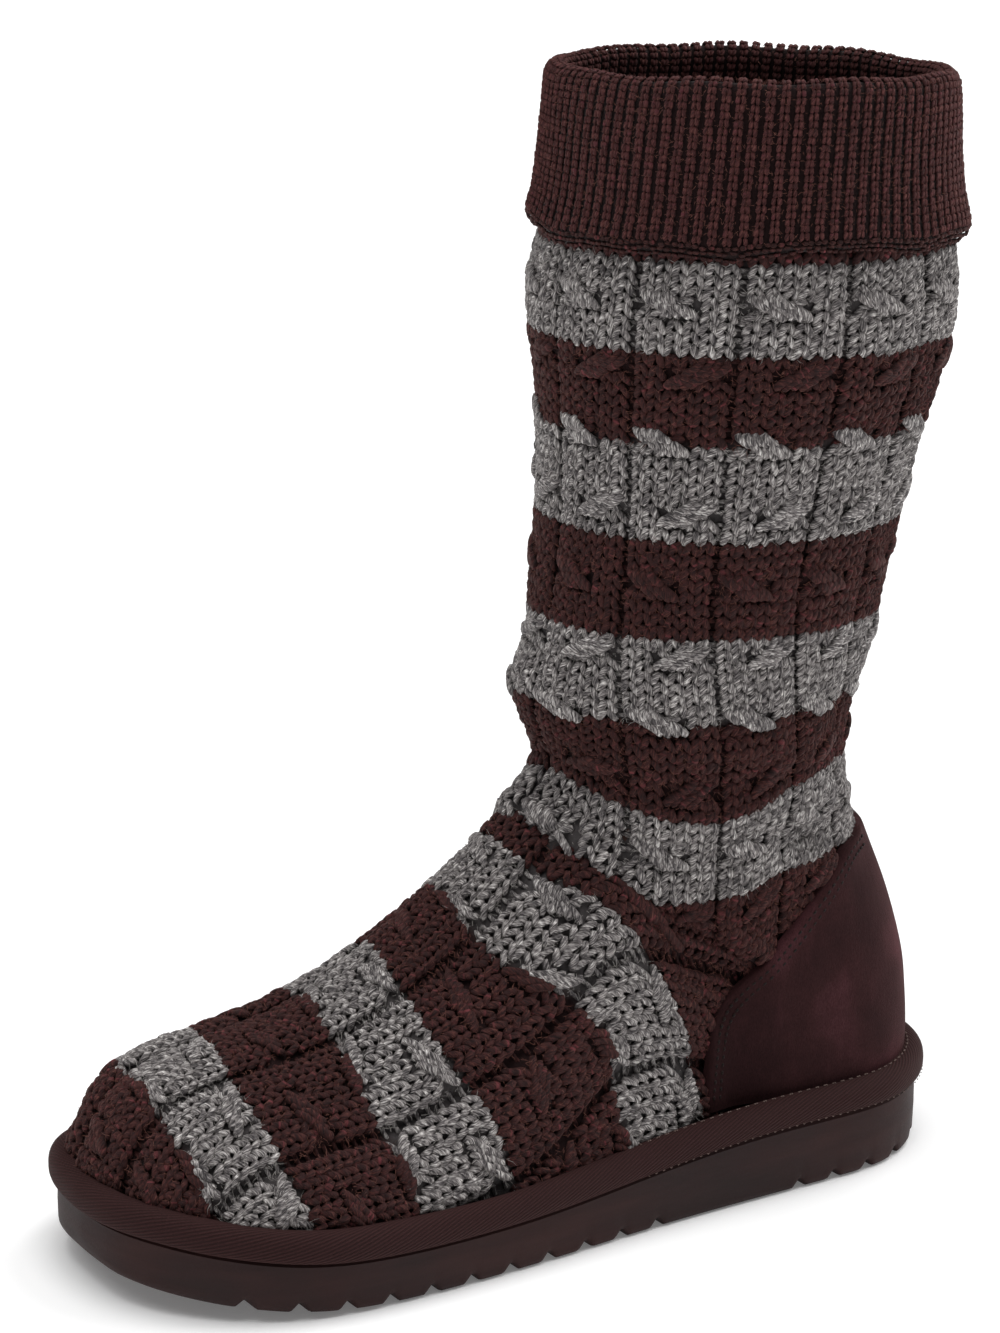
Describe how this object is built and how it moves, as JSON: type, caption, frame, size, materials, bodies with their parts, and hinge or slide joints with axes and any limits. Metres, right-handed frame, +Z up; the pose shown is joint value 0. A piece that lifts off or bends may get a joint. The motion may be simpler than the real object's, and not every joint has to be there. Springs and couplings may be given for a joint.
{
  "type": "mukluk boot",
  "caption": "Tall knitted boot: striped cable-knit upper, turned-down ribbed cuff, suede heel counter with a bare patch, bound welt and foam sole with saw-tooth tread.",
  "frame": {"origin": "on the floor under the middle of the boot's bounding box", "axes": "+Z up, -Y towards the toe, +X towards the outer side of this left boot"},
  "size_m": [0.1212, 0.2688, 0.312],
  "materials": {
    "foam": "matt moulded foam",
    "binding": "twill tape",
    "fleece": "short fleece",
    "knit": "chunky wool knit in heathered grey and maroon stripes",
    "suede": "suede",
    "patch": "smooth leather",
    "rib": "ribbed wool knit"
  },
  "bodies": {
    "root": {"outsole": "foam", "welt_binding": "binding", "insole": "fleece", "upper_knit": "knit", "heel_counter": "suede", "heel_patch": "patch", "ribbed_cuff": "rib"}
  },
  "joints": []
}
